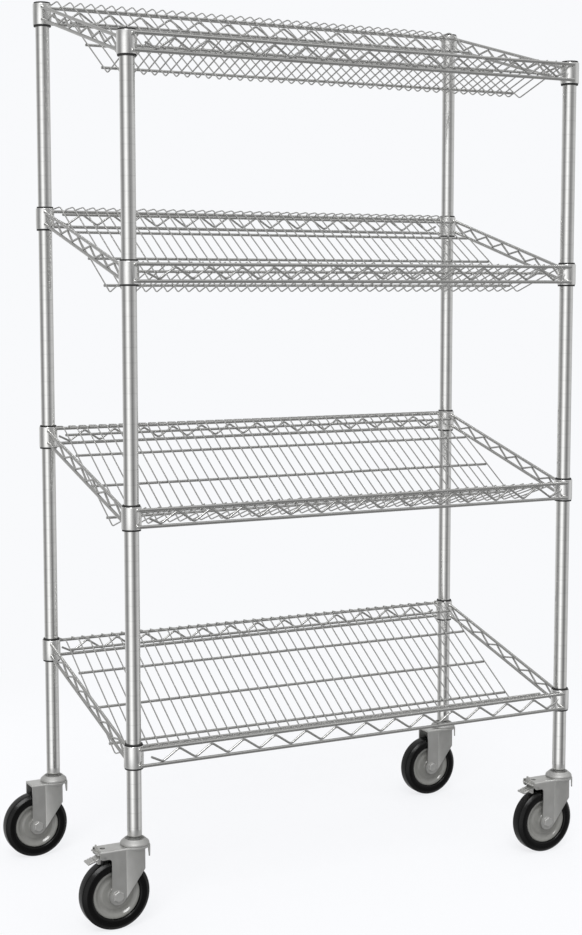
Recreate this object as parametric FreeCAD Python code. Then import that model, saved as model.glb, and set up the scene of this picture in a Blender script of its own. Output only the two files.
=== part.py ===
import FreeCAD, Part
import math
import os

# Bakery bread rack: four slanted wire shelves that lift off tapered sleeves on four posts, on swivel casters.
# Millimetres. X runs along the shelves, -Y is the low front, +Z is up. The floor is at Z = 0.
# The origin is the centre of the rack's footprint on the floor.

# Posts: chromed tube, short at the front and long at the back
post_diameter = 25.4
post_wall = 1.4
post_span_x = 881.2
post_span_y = 418.0
cap_flange = 2.0
cap_crown = 0.6
cap_plug_length = 12.0

# Shelf stations, measured at the middle of the front collars; the first from the foot of the posts
first_shelf_rise = 139.9
shelf_spacing = 406.4
top_spacing = 371.2
shelf_count = 4
back_rise = 103.4

# Collars and the split, tapered sleeves that they sit on
collar_diameter = 34.0
collar_height = 38.1
sleeve_length = 44.0
sleeve_top_diameter = 30.4
sleeve_taper = 1.6
sleeve_split = 0.4
post_fit = 0.05
collar_fit = 0.06

# Shelf wires
frame_wire = 6.0
frame_pitch = 28.0
front_wire_end_inset = 4.0
back_wire_offset = 8.0
side_wire_offset = 5.4
side_wire_back_rise = 16.0
side_wire_front_rise = 6.3
side_wire_drop = 22.3
lacing_wire = 4.0
lacing_valleys = 14
lacing_margin = 44.7
lacing_end = 21.2
side_lacing_turns = 13
side_lacing_front = 27.9
side_lacing_back = 22.9
mat_wire = 2.5
mat_inner_count = 40
mat_end_gap = 25.5
trough_setback = 135.3
trough_rise = -32.1
crest_inset = 32.0
crest_over_wire = 7.2
cross_wire = 5.0
slope_cross_wires = (25.7, 102.2, 179.7, 233.7)
lip_cross_wire = -94.3
cross_wire_overhang = 1.5
weld_gap = 0.02

# Flat sides that stand for a round section, so that the many repeated pieces stay light
thick_wire_sides = 8
thin_wire_sides = 4
sleeve_sides = 8
collar_sides = 16
cap_sides = 16
cup_sides = 16
wheel_sides = 28
pin_sides = 12
hexagon_sides = 6
boss_steps = 8
lip_steps = 6

# Casters
wheel_diameter = 122.0
crown_clearance = 15.5
caster_trail = 38.0
tyre_width = 30.0
tyre_shoulder = 5.0
wheel_centre_diameter = 84.0
hub_diameter = 24.0
hub_root_diameter = 32.0
web_width = 18.0
hub_gap = 0.5
axle_diameter = 10.0
axle_fit = 0.05
bolt_head = 4.45
bolt_head_across = 17.0
fork_inside = 34.0
fork_thickness = 2.5
crown_thickness = 4.0
crown_gap = 0.3
crown_diameter = 53.0
leg_front_x = 11.1
leg_rear_x = -48.7
leg_straight = 39.0
leg_boss_diameter = 30.0
lip_depth = 12.0
lip_half_angle = 48.0
cup_diameter = 50.0
cup_height = 12.2
cup_wall_height = 5.0
cup_shoulder_diameter = 45.0
cup_shoulder_height = 9.8
cup_rim_diameter = 38.0
cup_rim_rise = 1.4
cup_seat_diameter = 28.0
kingpin_diameter = 10.0
kingpin_head_diameter = 16.0
kingpin_head_height = 3.0
kingpin_head_gap = 0.3
stem_plug_length = 60.0
running_fit = 0.05

# Brakes of the front casters
ear_reach_x = -69.0
ear_depth = 14.4
ear_blend = 5.5
ear_corner = 5.0
deck_reach_x = -67.0
pedal_pivot_x = -61.0
pedal_pivot_drop = 11.0
pedal_pin_diameter = 4.0
pedal_barrel_diameter = 7.0
pedal_barrel_gap = 0.5
pedal_width = 21.0
pedal_bend_x = -74.0
pedal_bend_drop = 6.0
pedal_tip_x = -88.0
pedal_tip_drop = 10.5
pedal_thickness = 2.5
pedal_ridges = 3
pedal_ridge_height = 1.2
shoe_near_x = -65.5
shoe_far_x = -71.0
shoe_drop = 12.5
brake_plate_thickness = 2.0
brake_plate_root_x = -44.0
brake_plate_tip_x = -71.0
brake_plate_side_gap = 0.3
brake_plate_teeth = 5
brake_plate_tooth = 2.6
brake_hole = 7.0
brake_hole_x = -58.5
lug_width = 8.0
lug_thickness = 2.0
lug_rise = 6.0
lug_shift = 5.0

# Sizes worked out from the ones above
post_radius = post_diameter / 2
post_bore = post_radius - post_wall
collar_radius = collar_diameter / 2
sleeve_bore = post_radius + post_fit
sleeve_top_radius = sleeve_top_diameter / 2
sleeve_bottom_radius = sleeve_top_radius + sleeve_taper / 2
wheel_radius = wheel_diameter / 2
cup_radius = cup_diameter / 2
crown_radius = crown_diameter / 2
fork_outside = fork_inside + 2 * fork_thickness
crown_bottom = wheel_diameter + crown_clearance
crown_top = crown_bottom + crown_thickness
caster_height = crown_top + crown_gap + cup_height
pedal_pivot_z = crown_top - pedal_pivot_drop
origin_shift = (caster_trail + wheel_radius - crown_radius) / 2
front_y = -post_span_y / 2
back_y = post_span_y / 2
left_x = origin_shift - post_span_x / 2
right_x = origin_shift + post_span_x / 2
front_wire_y = front_y - collar_radius - frame_wire / 2 - weld_gap
back_wire_y = back_y + back_wire_offset
side_tilt = math.atan2(back_rise + side_wire_back_rise - side_wire_front_rise, post_span_y)
lacing_pitch = (post_span_x - 2 * lacing_margin) / (lacing_valleys - 1)
side_lacing_room = post_span_y / math.cos(side_tilt) - side_lacing_front - side_lacing_back
side_lacing_pitch = 2 * side_lacing_room / side_lacing_turns
mat_edge = post_span_x / 2 - collar_radius - mat_wire / 2 - weld_gap
mat_pitch = 2 * (mat_edge - mat_end_gap) / (mat_inner_count - 1)
trough_y = front_y + trough_setback
crest_y = back_y - crest_inset
crest_rise = back_rise + frame_pitch / 2 + crest_over_wire
slope = (crest_rise - trough_rise) / (crest_y - trough_y)
first_shelf = caster_height + first_shelf_rise
shelf_heights = [first_shelf + shelf_spacing * step for step in range(shelf_count - 1)]
shelf_heights.append(shelf_heights[-1] + top_spacing)

ALONG = FreeCAD.Vector(1, 0, 0)
ACROSS = FreeCAD.Vector(0, 1, 0)
corners = {
    "front_left": (left_x, front_y),
    "front_right": (right_x, front_y),
    "back_left": (left_x, back_y),
    "back_right": (right_x, back_y),
}


def point(x, y, z):
    return FreeCAD.Vector(x, y, z)


def moved(shape, x=0.0, y=0.0, z=0.0):
    """A copy of the shape, shifted."""
    copy = shape.copy()
    copy.translate(point(x, y, z))
    return copy


def around_post(radius, station, turn):
    """A point on a circle about the Z axis."""
    return point(radius * math.cos(turn), radius * math.sin(turn), station)


def around_axle(radius, station, turn):
    """A point on a circle about the wheel's axis; no turn is straight below it."""
    x = -caster_trail + radius * math.sin(turn)
    return point(x, station, wheel_radius - radius * math.cos(turn))


def around_pin(radius, station, turn):
    """A point on a circle about the brake pedal's pin."""
    return point(pedal_pivot_x + radius * math.sin(turn), station, pedal_pivot_z - radius * math.cos(turn))


def lathe(outline, sides, around):
    """A solid turned from a closed outline of (radius, station) points, with flat sides round it."""
    turns = [2 * math.pi * side / sides for side in range(sides)]
    faces = []
    for (radius, station), (next_radius, next_station) in zip(outline, outline[1:] + outline[:1]):
        if radius == 0 and next_radius == 0:
            continue
        near = [around(radius, station, turn) for turn in turns]
        far = [around(next_radius, next_station, turn) for turn in turns]
        for side in range(sides):
            after = (side + 1) % sides
            corners_of_face = [near[side]]
            if radius > 0:
                corners_of_face.append(near[after])
            if next_radius > 0:
                corners_of_face.append(far[after])
            corners_of_face.append(far[side])
            faces.append(Part.Face(Part.makePolygon(corners_of_face + corners_of_face[:1])))
    return closed_solid(faces)


def closed_solid(faces):
    shell = Part.makeShell(faces)
    shell.sewShape()
    solid = Part.makeSolid(shell)
    if solid.Volume < 0:
        solid.reverse()
    return solid


def round_hole(radius, sides):
    """Corner radius of a flat-sided hole that a shaft of this radius just clears."""
    return radius / math.cos(math.pi / sides)


def rod(radius, start, end, sides, around):
    return lathe([(0, start), (radius, start), (radius, end), (0, end)], sides, around)


def ring_plate(outer, inner, low, high):
    """Round tube about the Z axis."""
    rims = [Part.Wire(Part.makeCircle(radius, point(0, 0, low))) for radius in (outer, inner)]
    return Part.Face(rims).extrude(point(0, 0, high - low))


def plate_xz(outline, low_y, high_y):
    """Extrude a closed outline of points in the XZ plane from one Y to another."""
    face = Part.Face(Part.makePolygon(outline + outline[:1]))
    face.translate(point(0, low_y, 0))
    return face.extrude(point(0, high_y - low_y, 0))


def section_reach(diameter, sides):
    """Distance from a wire's axis to the corners of its many-sided section."""
    return diameter / 2 / math.cos(math.pi / sides)


def wire_solid(path, normal, diameter, sides, start_cut=None, end_cut=None):
    """A wire with a many-sided section along straight runs that lie in one plane, mitred where it bends.

    normal is the plane's normal. The ends are square unless a cut's own normal is given."""
    runs = [(b - a).normalize() for a, b in zip(path, path[1:])]
    cuts = [start_cut or runs[0]]
    cuts += [(a + b).normalize() for a, b in zip(runs, runs[1:])]
    cuts.append(end_cut or runs[-1])
    reach = section_reach(diameter, sides)
    turns = [2 * math.pi * (side + 0.5) / sides for side in range(sides)]
    rings = []
    for index, (corner, cut) in enumerate(zip(path, cuts)):
        run = runs[min(index, len(runs) - 1)]
        beside = normal.cross(run)
        ring = []
        for turn in turns:
            start = normal * (reach * math.cos(turn)) + beside * (reach * math.sin(turn))
            ring.append(corner + start - run * (start.dot(cut) / run.dot(cut)))
        rings.append(ring)
    faces = [Part.Face(Part.makePolygon(ring + ring[:1])) for ring in (rings[0], rings[-1])]
    for near, far in zip(rings, rings[1:]):
        for side in range(sides):
            after = (side + 1) % sides
            quad = [near[side], near[after], far[after], far[side], near[side]]
            faces.append(Part.Face(Part.makePolygon(quad)))
    return closed_solid(faces)


def tangent_end(corner, wire_centre, distance):
    """Where a line from the corner grazes over a circle round the wire's centre, in (y, z)."""
    away_y = corner[0] - wire_centre[0]
    away_z = corner[1] - wire_centre[1]
    span = math.hypot(away_y, away_z)
    lean = math.acos(distance / span)
    heading = math.atan2(away_z, away_y) + math.copysign(lean, -away_y) * -1
    return (wire_centre[0] + distance * math.cos(heading), wire_centre[1] + distance * math.sin(heading))


# Posts and what is fixed to them

def post(top):
    """Open tube from the caster to the underside of its cap."""
    return ring_plate(post_radius, post_bore, caster_height, top)


def post_cap(top):
    """Crowned plug that closes the tube; the flange sits on the tube's end."""
    plug = post_bore - post_fit
    outline = [
        (0, top - cap_plug_length),
        (plug, top - cap_plug_length),
        (plug, top),
        (post_radius, top),
        (post_radius, top + cap_flange - cap_crown),
        (plug, top + cap_flange),
        (0, top + cap_flange),
    ]
    return lathe(outline, cap_sides, around_post)


def sleeve_halves():
    """The two halves of a split sleeve, wider at its foot, with its middle at Z = 0."""
    half = sleeve_length / 2
    bore = round_hole(sleeve_bore, sleeve_sides)
    outline = [(bore, -half), (sleeve_bottom_radius, -half), (sleeve_top_radius, half), (bore, half)]
    gap = Part.makeBox(collar_diameter, sleeve_split, sleeve_length)
    gap.translate(point(-collar_radius, -sleeve_split / 2, -half))
    return lathe(outline, sleeve_sides, around_post).cut(gap).Solids


# Shelf pieces. Heights are measured from the middle of the shelf's front collars.

def collar():
    """Tube that seats on the wide foot of the sleeve inside it."""
    half = collar_height / 2
    widest = sleeve_bottom_radius - sleeve_taper / 2 * (sleeve_length - collar_height) / 2 / sleeve_length
    bore = round_hole(widest + collar_fit, collar_sides)
    outline = [(bore, -half), (collar_radius, -half), (collar_radius, half), (bore, half)]
    return lathe(outline, collar_sides, around_post)


def collar_seat(offset):
    """How far from a post's axis a wire that runs beside it by offset meets the collar."""
    return math.sqrt((collar_radius + weld_gap) ** 2 - offset ** 2)


def long_wire(y, height, half_length, cut_left, cut_right):
    path = [point(origin_shift - half_length, y, height), point(origin_shift + half_length, y, height)]
    return wire_solid(path, ACROSS, frame_wire, thick_wire_sides, cut_left, cut_right)


def frame_wires():
    """Two wires along each side: the back and side ones butt on the collars, the front ones pass them."""
    wires = []
    seat = collar_seat(back_wire_offset)
    cut_left = point(seat, back_wire_offset, 0).normalize()
    cut_right = point(-seat, back_wire_offset, 0).normalize()
    for height in (-frame_pitch / 2, frame_pitch / 2):
        front_half = post_span_x / 2 - front_wire_end_inset
        wires.append(long_wire(front_wire_y, height, front_half, None, None))
        back_half = post_span_x / 2 - seat
        wires.append(long_wire(back_wire_y, back_rise + height, back_half, cut_left, cut_right))
    for x, outward in ((left_x, -1), (right_x, 1)):
        for drop in (0, side_wire_drop):
            wires.append(side_wire(x + outward * side_wire_offset, outward, drop))
    return wires


def side_height(y):
    """Height of the upper side wire at a place along the side."""
    return side_wire_front_rise + math.tan(side_tilt) * (y - front_y)


def side_wire(x, outward, drop):
    seat = collar_seat(side_wire_offset)
    start_y = front_y + seat
    end_y = back_y - seat
    path = [point(x, start_y, side_height(start_y) - drop), point(x, end_y, side_height(end_y) - drop)]
    start_cut = point(outward * side_wire_offset, seat, 0).normalize()
    end_cut = point(outward * side_wire_offset, -seat, 0).normalize()
    return wire_solid(path, ALONG, frame_wire, thick_wire_sides, start_cut, end_cut)


def lacing_swing(room, pitch):
    """Half height of a zigzag whose mitred corners just meet the wires on each side of it."""
    half = lacing_wire / 2
    steep = 4 / pitch
    share = 1 - (half * steep) ** 2
    return (room - math.sqrt(room ** 2 - share * (room ** 2 - half ** 2))) / share


def long_lacing(y, height):
    """Zigzag wire between the two long wires of one side; each end stops level with the middle."""
    room = frame_pitch / 2 - frame_wire / 2 - weld_gap
    swing = lacing_swing(room, lacing_pitch)
    first = -(lacing_valleys - 1) / 2 * lacing_pitch
    places = [(first - lacing_end, 0)]
    for step in range(2 * lacing_valleys - 1):
        places.append((first + step * lacing_pitch / 2, swing if step % 2 else -swing))
    places.append((-first + lacing_end, 0))
    path = [point(origin_shift + along, y, height + up) for along, up in places]
    return wire_solid(path, ACROSS, lacing_wire, thin_wire_sides)


def side_lacing(x):
    """Zigzag wire between the two sloping wires of one end, square to their slope."""
    room = side_wire_drop / 2 * math.cos(side_tilt) - frame_wire / 2 - weld_gap
    swing = lacing_swing(room, side_lacing_pitch)
    path = []
    for step in range(side_lacing_turns + 1):
        along = side_lacing_front + step * side_lacing_pitch / 2
        aside = swing if step % 2 else -swing
        y = front_y + along * math.cos(side_tilt) - aside * math.sin(side_tilt)
        z = along * math.sin(side_tilt) + aside * math.cos(side_tilt)
        z += side_wire_front_rise - side_wire_drop / 2
        path.append(point(x, y, z))
    return wire_solid(path, ALONG, lacing_wire, thin_wire_sides)


def lacing():
    """The four zigzag wires of one shelf."""
    pieces = [long_lacing(front_wire_y, 0), long_lacing(back_wire_y, back_rise)]
    pieces.append(side_lacing(left_x - side_wire_offset))
    pieces.append(side_lacing(right_x + side_wire_offset))
    return pieces


def mat_profile():
    """(y, z) corners of a mat wire: over the front wire, down the lip, up the slope, over the back wire."""
    grip = section_reach(frame_wire, thick_wire_sides) + mat_wire / 2 + weld_gap
    trough = (trough_y, trough_rise)
    crest = (crest_y, crest_rise)
    front_end = tangent_end(trough, (front_wire_y, frame_pitch / 2), grip)
    back_end = tangent_end(crest, (back_wire_y, back_rise + frame_pitch / 2), grip)
    return [front_end, trough, crest, back_end]


def mat():
    """Evenly spaced bent wires, and one more beside the collars at each end."""
    path = [point(0, y, z) for y, z in mat_profile()]
    bent = wire_solid(path, ALONG, mat_wire, thin_wire_sides)
    first = -(mat_inner_count - 1) / 2 * mat_pitch
    places = [first + step * mat_pitch for step in range(mat_inner_count)]
    return [moved(bent, origin_shift + place) for place in [-mat_edge] + places + [mat_edge]]


def cross_wires():
    """Straight wires along the shelf: four under the slope of the mat, one on top of its lip."""
    front_end, trough = mat_profile()[:2]
    grip = (cross_wire + mat_wire) / 2 + weld_gap
    lip = (trough[1] - front_end[1]) / (trough[0] - front_end[0])
    wires = []
    for setback in slope_cross_wires:
        wires.append(cross_wire_on(setback, slope, -grip))
    wires.append(cross_wire_on(lip_cross_wire, lip, grip))
    return wires


def cross_wire_on(setback, steepness, offset):
    """A wire offset square to the mat, this far behind the mat's lowest bend."""
    square = point(0, -steepness, 1).normalize()
    reach = mat_edge + cross_wire_overhang
    y = trough_y + setback
    z = trough_rise + steepness * setback + offset / square.z
    path = [point(origin_shift - reach, y, z), point(origin_shift + reach, y, z)]
    return wire_solid(path, square, cross_wire, thick_wire_sides)


# Caster pieces, drawn with the post's axis on Z and the wheel trailing towards -X

def caster_stem():
    """Plug inside the post's foot, the upper cup of the swivel, and the kingpin that carries the fork."""
    cup_bottom = caster_height - cup_height
    head_top = crown_bottom - kingpin_head_gap
    plug = post_bore - running_fit
    outline = [
        (0, head_top - kingpin_head_height),
        (kingpin_head_diameter / 2, head_top - kingpin_head_height),
        (kingpin_head_diameter / 2, head_top),
        (kingpin_diameter / 2, head_top),
        (kingpin_diameter / 2, cup_bottom),
        (cup_radius, cup_bottom),
        (cup_radius, cup_bottom + cup_wall_height),
        (cup_shoulder_diameter / 2, cup_bottom + cup_shoulder_height),
        (cup_rim_diameter / 2, caster_height + cup_rim_rise),
        (cup_seat_diameter / 2, caster_height),
        (plug, caster_height),
        (plug, caster_height + stem_plug_length),
        (0, caster_height + stem_plug_length),
    ]
    return lathe(outline, cup_sides, around_post)


def leg_outline(rear_points):
    """Corners of one fork leg in the XZ plane: straight front edge, taper to a round boss at the axle."""
    boss = leg_boss_diameter / 2
    axle_spot = point(-caster_trail, 0, wheel_radius)
    knee = point(leg_front_x, 0, crown_top - leg_straight)
    reach = knee - axle_spot
    first = math.atan2(reach.z, reach.x) - math.acos(boss / reach.Length)
    sweep = first + math.pi
    outline = rear_points + [point(leg_front_x, 0, crown_top), knee]
    for step in range(boss_steps + 1):
        angle = first - sweep * step / boss_steps
        outline.append(axle_spot + point(boss * math.cos(angle), 0, boss * math.sin(angle)))
    return outline


def crown_lip():
    """The crown's front edge, turned down round the swivel in a tongue with a rounded end."""
    inside = crown_radius - fork_thickness
    arc = [math.radians(lip_half_angle) * (2 * step / lip_steps - 1) for step in range(lip_steps + 1)]
    rim = [around_post(crown_radius, crown_bottom - lip_depth, turn) for turn in arc]
    rim += [around_post(inside, crown_bottom - lip_depth, turn) for turn in reversed(arc)]
    band = Part.Face(Part.makePolygon(rim + rim[:1])).extrude(point(0, 0, lip_depth))
    reach = crown_radius * math.sin(math.radians(lip_half_angle))
    turns = [math.pi * step / lip_steps for step in range(lip_steps + 1)]
    tongue = [point(0, -reach * math.cos(turn), crown_bottom - lip_depth * math.sin(turn)) for turn in turns]
    outline = Part.Face(Part.makePolygon(tongue + tongue[:1]))
    return band.common(outline.extrude(point(crown_radius, 0, 0)))


def crown(rear_x):
    """Flat top of the fork: a deck between the legs that ends in a round front under the cup."""
    half = fork_outside / 2
    deck = Part.makeBox(-rear_x, fork_outside, crown_thickness, point(rear_x, -half, crown_bottom))
    return deck.fuse(rod(crown_radius, crown_bottom, crown_top, cup_sides, around_post))


def ear_outline():
    """Rear edge of a braked leg: it widens under the deck into an ear that carries the pedal's pin."""
    low = crown_top - ear_depth
    return [
        point(leg_rear_x, 0, low - ear_blend),
        point(leg_rear_x - ear_blend / 2, 0, low),
        point(ear_reach_x + ear_corner, 0, low),
        point(ear_reach_x, 0, low + ear_corner),
        point(ear_reach_x, 0, crown_top),
    ]


def brake_opening(low, high):
    """The round hole through the deck and the brake plate under it."""
    return moved(rod(brake_hole / 2, low, high, pin_sides, around_post), brake_hole_x)


def fork(braked):
    """Pressed fork: round crown with a turned-down front lip, and two flat legs. Braked ones have ears."""
    rear = ear_outline() if braked else [point(leg_rear_x, 0, crown_top)]
    inside = fork_inside / 2
    half = fork_outside / 2
    outline = leg_outline(rear)
    legs = [plate_xz(outline, -half, -inside), plate_xz(outline, inside, half)]
    body = crown(deck_reach_x if braked else leg_rear_x).fuse(legs + [crown_lip()])
    bore = round_hole(kingpin_diameter / 2 + running_fit, pin_sides)
    body = body.cut(rod(bore, crown_bottom, crown_top, pin_sides, around_post))
    hole = round_hole(axle_diameter / 2 + axle_fit, pin_sides)
    body = body.cut(rod(hole, -half, half, pin_sides, around_axle))
    if braked:
        pin_hole = round_hole(pedal_pin_diameter / 2 + axle_fit, pin_sides)
        body = body.cut(rod(pin_hole, -half, half, pin_sides, around_pin))
        body = body.cut(brake_opening(crown_bottom, crown_top))
    return body.removeSplitter()


def axle():
    """Bolt through fork and wheel with its head to the front, and the nut at the back."""
    half = fork_outside / 2
    corner = round_hole(bolt_head_across / 2, hexagon_sides)
    shank = axle_diameter / 2
    bolt = rod(corner, -half - bolt_head, -half, hexagon_sides, around_axle)
    bolt = bolt.fuse(rod(shank, -half, half, pin_sides, around_axle)).removeSplitter()
    nut = rod(corner, half, half + bolt_head, hexagon_sides, around_axle)
    return [bolt, nut]


def mirrored(side):
    """A turned outline that is the same on both sides of its middle."""
    return side + [(radius, -station) for radius, station in reversed(side)]


def wheel_centre():
    """Dished disc with a hub that runs on the axle."""
    hub = fork_inside / 2 - hub_gap
    web = web_width / 2
    side = [
        (round_hole(axle_diameter / 2 + running_fit, wheel_sides), -hub),
        (hub_diameter / 2, -hub),
        (hub_root_diameter / 2, -web),
        (wheel_centre_diameter / 2, -web),
    ]
    return lathe(mirrored(side), wheel_sides, around_axle)


def tyre():
    """Solid tyre round the wheel centre, with bevelled shoulders."""
    half = tyre_width / 2
    side = [
        (wheel_centre_diameter / 2 + weld_gap, -half),
        (wheel_radius - tyre_shoulder, -half),
        (wheel_radius, -half + tyre_shoulder),
    ]
    return lathe(mirrored(side), wheel_sides, around_axle)


def brake_pedal():
    """Foot pedal: barrel round the pin, sheet that bends out to a ridged tread, and a shoe over the tyre."""
    half = pedal_width / 2
    barrel = pedal_barrel_diameter / 2
    barrel_half = fork_inside / 2 - pedal_barrel_gap
    pivot = point(pedal_pivot_x, 0, pedal_pivot_z)
    bend = point(pedal_bend_x, 0, pedal_pivot_z - pedal_bend_drop)
    tip = point(pedal_tip_x, 0, pedal_pivot_z - pedal_tip_drop)
    outward = (tip - bend).normalize()
    square = point(outward.z, 0, -outward.x)
    above = square * (pedal_thickness / 2)
    ridge_step = (tip - bend).Length / pedal_ridges
    top = [pivot + above, bend + above]
    for ridge in range(pedal_ridges):
        start = bend + outward * (ridge * ridge_step) + above
        top.append(start + outward * (ridge_step / 2) + square * pedal_ridge_height)
        top.append(start + outward * ridge_step)
    under = [tip - above, bend - above]
    shoe_z = pedal_pivot_z - shoe_drop
    under += [point(shoe_far_x, 0, bend.z), point(shoe_far_x, 0, shoe_z)]
    under += [point(shoe_near_x, 0, shoe_z), point(shoe_near_x, 0, pedal_pivot_z - barrel)]
    under.append(pivot - above)
    body = plate_xz(top + under, -half, half)
    body = body.fuse(rod(barrel, -barrel_half, barrel_half, pin_sides, around_pin))
    bore = round_hole(pedal_pin_diameter / 2 + running_fit, pin_sides)
    return body.cut(rod(bore, -barrel_half, barrel_half, pin_sides, around_pin)).removeSplitter()


def brake_pin():
    """Pin across the fork's ears that the pedal turns on."""
    return rod(pedal_pin_diameter / 2, -fork_outside / 2, fork_outside / 2, pin_sides, around_pin)


def brake_plate():
    """Plate under the deck with a toothed rear edge, a round hole and a lug bent up behind the deck."""
    half = fork_inside / 2 - brake_plate_side_gap
    high = crown_bottom - weld_gap
    low = high - brake_plate_thickness
    tooth_width = 2 * half / brake_plate_teeth
    outline = [point(brake_plate_root_x, half, low), point(brake_plate_root_x, -half, low)]
    outline.append(point(brake_plate_tip_x, -half, low))
    for tooth in range(brake_plate_teeth):
        start = -half + tooth * tooth_width
        outline.append(point(brake_plate_tip_x - brake_plate_tooth, start + tooth_width / 2, low))
        outline.append(point(brake_plate_tip_x, start + tooth_width, low))
    face = Part.Face(Part.makePolygon(outline + outline[:1]))
    plate = face.extrude(point(0, 0, brake_plate_thickness)).cut(brake_opening(low, high))
    lug_x = deck_reach_x - lug_thickness - weld_gap
    lug_spot = point(lug_x, lug_shift - lug_width / 2, low)
    lug = Part.makeBox(lug_thickness, lug_width, crown_top + lug_rise - low, lug_spot)
    return plate.fuse(lug).removeSplitter()


def write(name, solids):
    shape = solids[0] if len(solids) == 1 else Part.makeCompound(solids)
    shape.exportStep(os.path.join("parts", name + ".step"))


def write_posts():
    top_shelf = shelf_heights[-1]
    caps = []
    for name, (x, y) in corners.items():
        rise = back_rise if y > 0 else 0
        top = top_shelf + rise + sleeve_length / 2 - cap_flange
        write("post_" + name, [moved(post(top), x, y)])
        caps.append(moved(post_cap(top), x, y))
    write("post_caps", caps)


def write_shelves():
    halves = sleeve_halves()
    ring = collar()
    groups = {"frame_wires": frame_wires(), "lacing": lacing(), "mat": mat(), "cross_wires": cross_wires()}
    for number, height in enumerate(shelf_heights, 1):
        spots = [(x, y, height + (back_rise if y > 0 else 0)) for x, y in corners.values()]
        write("sleeves_shelf_%d" % number, [moved(half, *spot) for spot in spots for half in halves])
        write("collars_shelf_%d" % number, [moved(ring, *spot) for spot in spots])
        for name, solids in groups.items():
            write("%s_shelf_%d" % (name, number), [moved(solid, 0, 0, height) for solid in solids])


def write_casters():
    for name, (x, y) in corners.items():
        braked = y < 0
        pieces = {
            "caster_stem": [caster_stem()],
            "fork": [fork(braked)],
            "axle": axle(),
            "wheel_centre": [wheel_centre()],
            "tyre": [tyre()],
        }
        if braked:
            pieces["brake_pedal"] = [brake_pedal()]
            pieces["brake_pin"] = [brake_pin()]
            pieces["brake_plate"] = [brake_plate()]
        for piece, solids in pieces.items():
            write("%s_%s" % (piece, name), [moved(solid, x, y) for solid in solids])


os.makedirs("parts", exist_ok=True)
write_posts()
write_shelves()
write_casters()
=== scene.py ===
import math

import bmesh
import bpy
from mathutils import Matrix, Vector


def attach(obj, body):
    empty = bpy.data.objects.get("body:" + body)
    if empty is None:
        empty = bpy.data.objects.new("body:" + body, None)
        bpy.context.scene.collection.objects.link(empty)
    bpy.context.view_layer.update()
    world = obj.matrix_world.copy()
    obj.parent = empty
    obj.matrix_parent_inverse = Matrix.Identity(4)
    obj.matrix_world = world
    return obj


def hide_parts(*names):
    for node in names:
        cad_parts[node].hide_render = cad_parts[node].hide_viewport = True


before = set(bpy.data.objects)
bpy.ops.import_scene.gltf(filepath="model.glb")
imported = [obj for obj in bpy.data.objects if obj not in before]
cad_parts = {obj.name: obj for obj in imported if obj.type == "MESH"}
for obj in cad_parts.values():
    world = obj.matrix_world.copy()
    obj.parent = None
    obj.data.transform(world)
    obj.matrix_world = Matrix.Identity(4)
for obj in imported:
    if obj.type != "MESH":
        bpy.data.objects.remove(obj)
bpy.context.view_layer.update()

# Sizes in millimetres; those of the main forms are the CAD source's
MM = 0.001
WELD_GAP = 0.02

# Points closer than this are taken as one
SAME_SPOT = 0.02

# Posts at the four corners
SHIFT = 36.25
SPAN_X = 881.2
SPAN_Y = 418.0
LEFT = SHIFT - SPAN_X / 2
RIGHT = SHIFT + SPAN_X / 2
FRONT = -SPAN_Y / 2
BACK = SPAN_Y / 2
CORNERS = {
    "front_left": (LEFT, FRONT),
    "front_right": (RIGHT, FRONT),
    "back_left": (LEFT, BACK),
    "back_right": (RIGHT, BACK),
}
POST_R = 12.7
POST_WALL = 1.4
POST_FOOT = 154.0
POST_EDGE = 0.4
PLUG_R = 11.2
CAP_FLANGE = 2.0
CAP_PLUG_LENGTH = 12.0

# The groove at every inch of a post: (along the post, depth)
GROOVE_START = 17.6
GROOVE_STEP = 25.4
GROOVE_LINE = ((-1.4, 0.0), (-0.9, 0.0), (-0.45, 0.014), (0.0, 0.02), (0.45, 0.014), (0.9, 0.0),
               (1.4, 0.0))

# Shelf stations at the middle of the front collars; the back collars sit higher
FIRST_SHELF = 293.9
SHELF_STEP = 406.4
TOP_STEP = 371.2
HEIGHTS = [FIRST_SHELF + SHELF_STEP * step for step in range(3)]
HEIGHTS.append(HEIGHTS[-1] + TOP_STEP)
BACK_RISE = 103.4

# Collars and the split, tapered sleeves inside them
SLEEVE_HALF = 22.0
SLEEVE_BORE_R = POST_R + 0.05
SLEEVE_FOOT_R = 16.0
SLEEVE_TOP_R = 15.2
SLEEVE_EDGE = 0.4
TAPER_HALF = 19.4
COLLAR_R = 17.0
COLLAR_BORE_R = 15.98
COLLAR_HALF = 19.05

# Half of each split between the two halves of a sleeve, in degrees
SLEEVE_SPLIT = 0.9

# Frame wires and their lacing
FRAME_R = 3.0
FRAME_PITCH = 28.0
FRONT_WIRE_INSET = 4.0
WELD_INSET = 4.5
BACK_OFFSET = 8.0
SIDE_OFFSET = 5.4
SIDE_DROP = 22.3
SIDE_FRONT_RISE = 6.3
SIDE_BACK_RISE = 16.0
FRONT_Y = FRONT - COLLAR_R - FRAME_R - WELD_GAP
BACK_Y = BACK + BACK_OFFSET
WIRE_SUNK = 0.5
LACING_R = 2.0
LACING_BEND = 7.5
LACING_PITCH = 60.9
LACING_CORNERS = 27
LACING_SWING = 10.2
LACING_LEAD = 21.2
SIDE_LACING_START = 27.9
SIDE_LACING_PITCH = 58.8
SIDE_LACING_CORNERS = 14
SIDE_LACING_SWING = 6.5

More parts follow.
